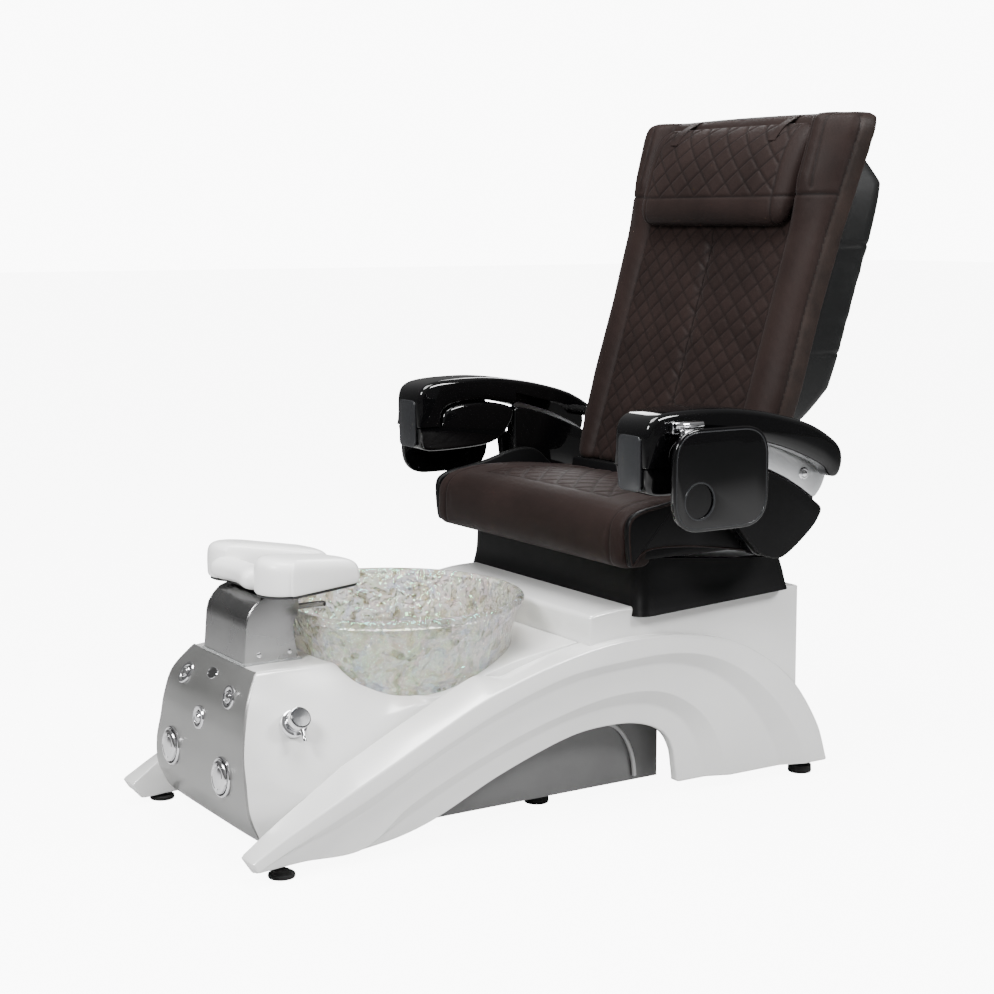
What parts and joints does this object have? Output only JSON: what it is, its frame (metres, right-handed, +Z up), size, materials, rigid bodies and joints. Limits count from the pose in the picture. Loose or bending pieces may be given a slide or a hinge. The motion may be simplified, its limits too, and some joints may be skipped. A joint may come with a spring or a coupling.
{
  "type": "pedicure spa chair",
  "caption": "Pedicure spa: moulded arch base with crystal glass foot bowl, quilted reclining massage seat, lifting arms with side trays.",
  "frame": {"origin": "on the floor, under the middle of the whole chair", "axes": "+Y from the foot bowl towards the back rest, +X the client's left (mixer side), +Z up"},
  "size_m": [0.994, 1.4494, 1.352],
  "materials": {
    "gelcoat": "pearl gloss",
    "silver_panel": "satin silver",
    "stainless": "brushed",
    "chrome": "polished",
    "crystal_glass": "mottled iridescent",
    "liner_grey": "matt",
    "gloss_black": "piano gloss",
    "brown_leather": "quilted semi-matt",
    "white_pad": "soft satin",
    "rubber": "matt",
    "zinc_steel": "zinc plated",
    "satin_black": "satin"
  },
  "bodies": {
    "base": {"arch_left": "gelcoat", "arch_right": "gelcoat", "badge_plate": "gloss_black", "base_liner": "liner_grey", "column_cover": "stainless", "column_plate_left": "stainless", "column_plate_right": "stainless", "drain_strainer": "chrome", "faucet_plate": "chrome", "footrest_rail_left": "stainless", "footrest_rail_right": "stainless", "front_foot_left": "rubber", "front_foot_right": "rubber", "front_panel": "silver_panel", "glass_bowl": "crystal_glass", "jet_cover": "gelcoat", "jet_motor": "satin_black", "middle_foot_left": "rubber", "middle_foot_right": "rubber", "pedestal": "gelcoat", "rear_foot_left": "rubber", "rear_foot_right": "rubber", "rear_panel": "gelcoat", "seat_rail_left": "zinc_steel", "seat_rail_right": "zinc_steel", "skirt": "satin_black", "tub_body": "gelcoat"},
    "back": {"back_cushion": "brown_leather", "back_frame": "zinc_steel", "back_shell": "satin_black", "head_pillow": "brown_leather", "massage_carriage": "satin_black"},
    "tray_left": {"tray_left": "gloss_black"},
    "arm_left": {"arm_body_left": "satin_black", "arm_cap_left": "gloss_black", "tray_hinge_left": "chrome"},
    "tray_right": {"tray_right": "gloss_black"},
    "arm_right": {"arm_body_right": "satin_black", "arm_cap_right": "gloss_black", "tray_hinge_right": "chrome"},
    "seat": {"arm_bracket_left": "stainless", "arm_bracket_right": "stainless", "recline_cover_left": "satin_black", "recline_cover_right": "satin_black", "recline_motor": "satin_black", "seat_cushion": "brown_leather", "seat_frame": "zinc_steel", "seat_pan": "satin_black", "seat_side_left": "satin_black", "seat_side_right": "satin_black"},
    "footrest": {"foot_pad_left": "white_pad", "foot_pad_right": "white_pad", "foot_saddle": "white_pad", "footrest_plate": "satin_black"},
    "faucet": {"faucet_knob": "chrome"},
    "air_control": {"air_dial": "chrome"},
    "water_control": {"water_dial": "chrome"},
    "button_1": {"button_cap_1": "chrome"},
    "button_2": {"button_cap_2": "chrome"},
    "button_3": {"button_cap_3": "chrome"}
  },
  "joints": [
    {"name": "seat_slide", "type": "slide", "parent": "base", "child": "seat", "axis": [0, -1, 0], "range_m": [0, 0.1]},
    {"name": "back_recline", "type": "hinge", "parent": "seat", "child": "back", "pos_m": [0, 0.4, 0.6], "axis": [-1, 0, 0], "range_deg": [0, 35]},
    {"name": "arm_lift_left", "type": "hinge", "parent": "seat", "child": "arm_left", "pos_m": [0.4, 0.405, 0.653], "axis": [-1, 0, 0], "range_deg": [0, 75]},
    {"name": "tray_flip_left", "type": "hinge", "parent": "arm_left", "child": "tray_left", "pos_m": [0.4745, 0.072, 0.772], "axis": [0, -1, 0], "range_deg": [0, 90]},
    {"name": "arm_lift_right", "type": "hinge", "parent": "seat", "child": "arm_right", "pos_m": [-0.4, 0.405, 0.653], "axis": [-1, 0, 0], "range_deg": [0, 75]},
    {"name": "tray_flip_right", "type": "hinge", "parent": "arm_right", "child": "tray_right", "pos_m": [-0.4745, 0.072, 0.772], "axis": [0, 1, 0], "range_deg": [0, 90]},
    {"name": "footrest_slide", "type": "slide", "parent": "base", "child": "footrest", "axis": [0, 1, 0], "range_m": [0, 0.05]},
    {"name": "faucet_turn", "type": "hinge", "parent": "base", "child": "faucet", "pos_m": [0.201, -0.592, 0.252], "axis": [0.8412, 0, 0.5408], "range_deg": [-45, 45]},
    {"name": "water_dial_turn", "type": "hinge", "parent": "base", "child": "water_control", "pos_m": [-0.12, -0.6936, 0.15], "axis": [0, -0.9968, 0.0797], "range_deg": [-90, 90]},
    {"name": "air_dial_turn", "type": "hinge", "parent": "base", "child": "air_control", "pos_m": [0.11, -0.69392, 0.146], "axis": [0, -0.9968, 0.0797], "range_deg": [-90, 90]},
    {"name": "button_1_press", "type": "slide", "parent": "base", "child": "button_1", "axis": [0, 0.8348, -0.5506], "range_m": [0, 0.0025], "stiffness_N_per_m": 400, "springref_m": -0.001},
    {"name": "button_2_press", "type": "slide", "parent": "base", "child": "button_2", "axis": [0, 0.9678, -0.2516], "range_m": [0, 0.0025], "stiffness_N_per_m": 400, "springref_m": -0.001},
    {"name": "button_3_press", "type": "slide", "parent": "base", "child": "button_3", "axis": [0, 0.9939, -0.1104], "range_m": [0, 0.0025], "stiffness_N_per_m": 400, "springref_m": -0.001}
  ]
}
